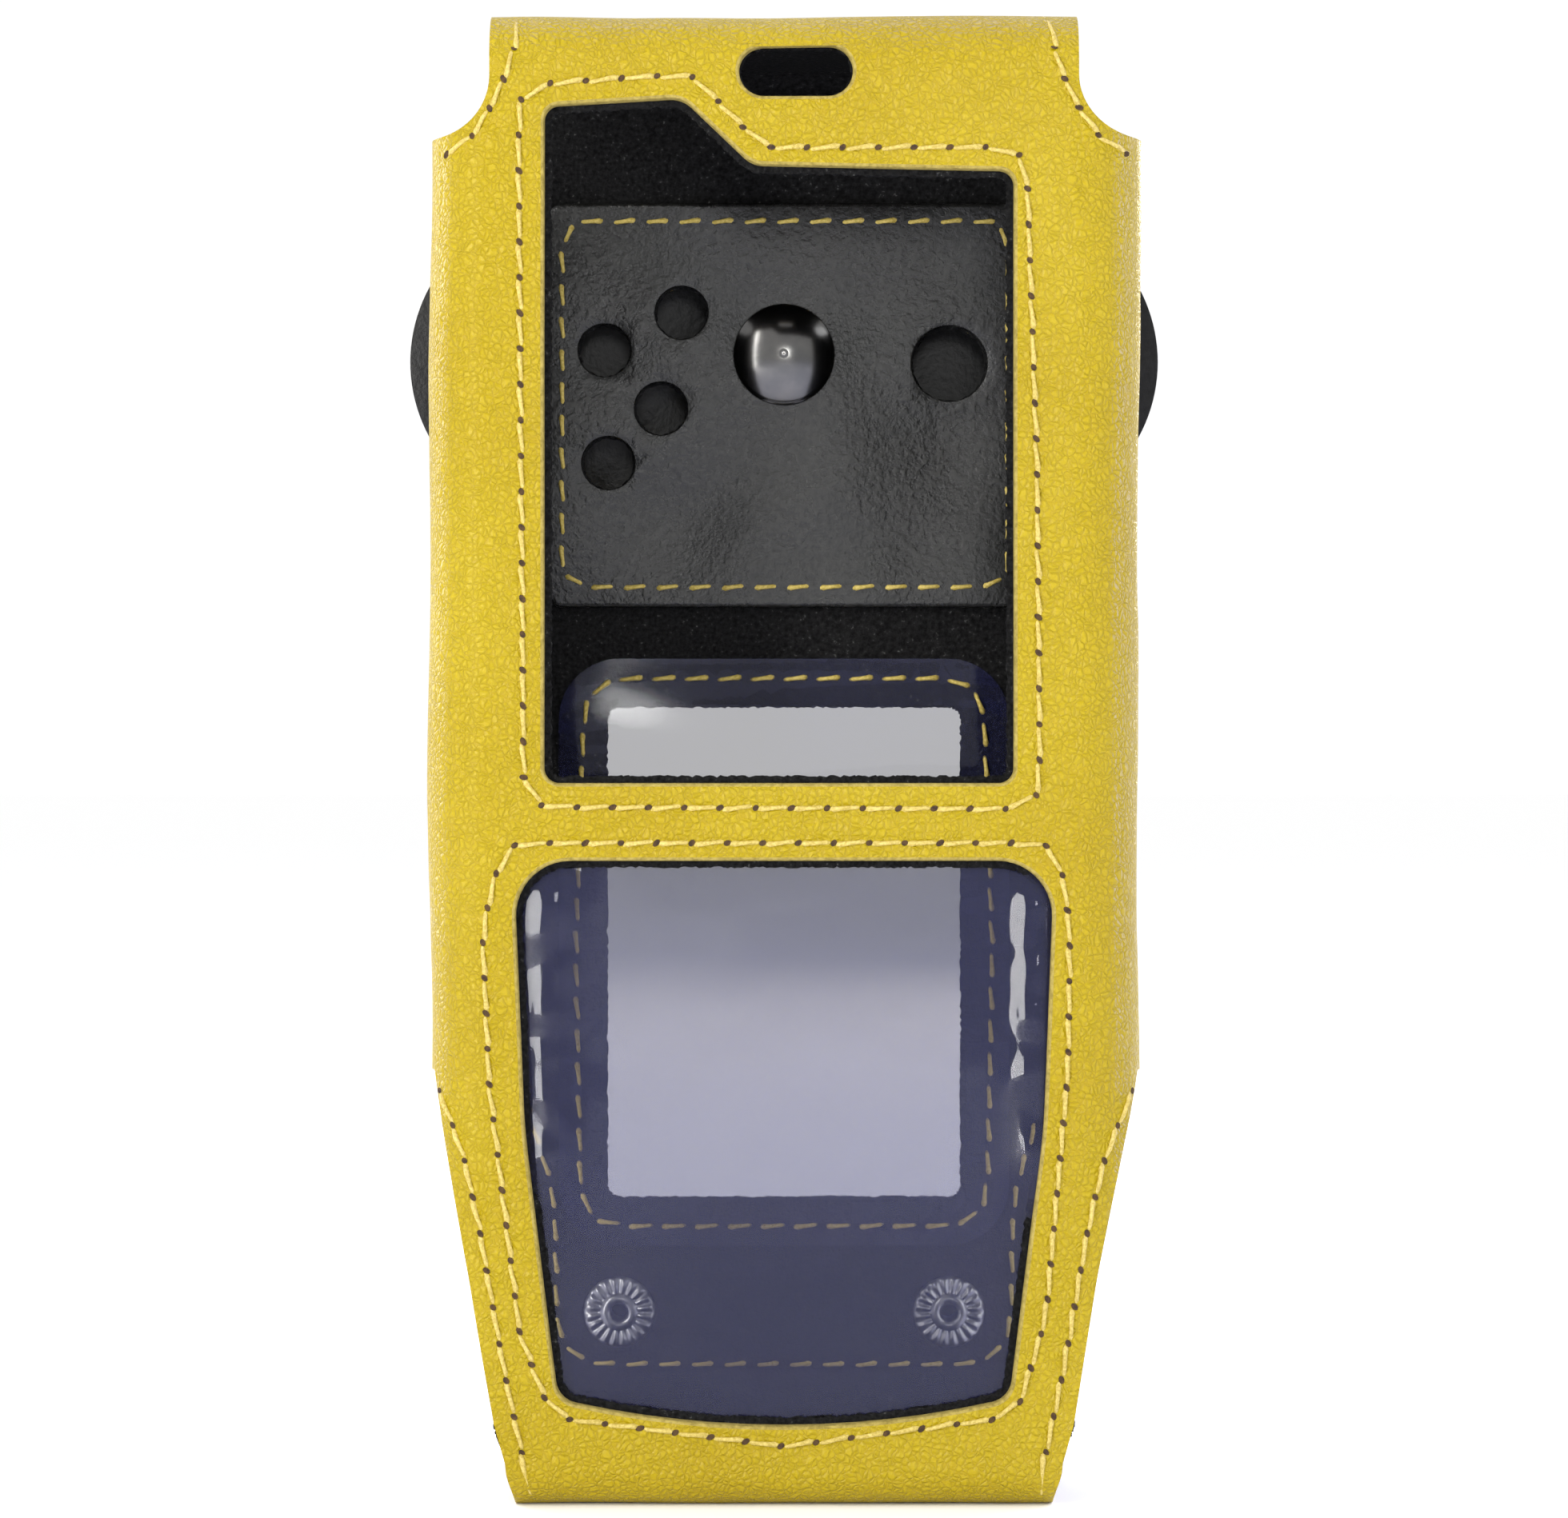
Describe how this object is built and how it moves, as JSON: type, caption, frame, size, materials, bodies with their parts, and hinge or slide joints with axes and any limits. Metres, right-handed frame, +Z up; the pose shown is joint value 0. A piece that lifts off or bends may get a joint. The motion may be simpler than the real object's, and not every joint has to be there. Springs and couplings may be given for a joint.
{
  "type": "two way radio carry case",
  "caption": "Stitched leather carry case for a handheld two way radio, with display and keypad windows, a press-stud closing flap and a quick-release belt clip.",
  "frame": {"origin": "centre of the bounding box on the underside of the case", "axes": "+X to the right seen from the front, +Y from the front to the belt clip, +Z up along the case"},
  "size_m": [0.081, 0.054, 0.15],
  "materials": {
    "leather": "yellow pebbled leather, semi-gloss",
    "lining": "black napped lining",
    "clear_film": "clear glossy film with a faint blue tint",
    "black_leather": "smooth black, satin",
    "gunmetal": "dark gunmetal plating",
    "black_metal": "black oxide, satin",
    "black_plastic": "black moulded plastic, fine texture",
    "spring_steel": "bare spring wire"
  },
  "bodies": {
    "case": {"front_shell": "leather", "front_lining": "lining", "back_panel": "leather", "back_lining": "lining", "keypad_film": "clear_film", "back_window_film": "clear_film", "clip_reinforcement": "black_leather", "knob_rivet": "gunmetal", "clip_knob": "black_plastic", "snap_stud_left": "black_metal", "snap_stud_right": "black_metal", "stud_eyelet_left": "gunmetal", "stud_eyelet_right": "gunmetal"},
    "strap": {"bottom_strap": "leather", "bottom_strap_lining": "lining"},
    "flap": {"closing_flap": "leather", "closing_flap_lining": "lining", "snap_cap_left": "black_metal", "snap_cap_right": "black_metal", "snap_socket_left": "black_metal", "snap_socket_right": "black_metal"},
    "clip": {"clip_base": "black_plastic", "clip_plate": "black_plastic", "release_spring_left": "spring_steel", "release_spring_right": "spring_steel"},
    "tongue": {"clip_tongue": "black_plastic"},
    "button_left": {"release_button_left": "black_plastic"},
    "button_right": {"release_button_right": "black_plastic"}
  },
  "joints": [
    {"name": "strap_fold", "type": "hinge", "parent": "case", "child": "strap", "pos_m": [0, -0.02614, 0.00086], "axis": [-1, 0, 0], "range_deg": [0, 80]},
    {"name": "flap_fold", "type": "hinge", "parent": "strap", "child": "flap", "pos_m": [0, 0.00834, 0.00086], "axis": [-1, 0, 0], "range_deg": [0, 100]},
    {"name": "clip_swivel", "type": "hinge", "parent": "case", "child": "clip", "pos_m": [0, 0.012, 0.118], "axis": [0, 1, 0], "continuous": true},
    {"name": "tongue_flex", "type": "hinge", "parent": "clip", "child": "tongue", "pos_m": [0, 0.021, 0.1428], "axis": [1, 0, 0], "range_deg": [0, 9], "stiffness_Nm_per_rad": 0.3, "springref_deg": -1.15},
    {"name": "button_left_squeeze", "type": "slide", "parent": "clip", "child": "button_left", "axis": [1, 0, 0], "range_m": [0, 0.003], "stiffness_N_per_m": 100, "springref_m": -0.002, "deforming": ["release_spring_left"]},
    {"name": "button_right_squeeze", "type": "slide", "parent": "clip", "child": "button_right", "axis": [-1, 0, 0], "range_m": [0, 0.003], "stiffness_N_per_m": 100, "springref_m": -0.002, "deforming": ["release_spring_right"]}
  ],
  "couplings": [
    {"joint": "flap_fold", "follows": "strap_fold", "ratio": 1.25}
  ]
}
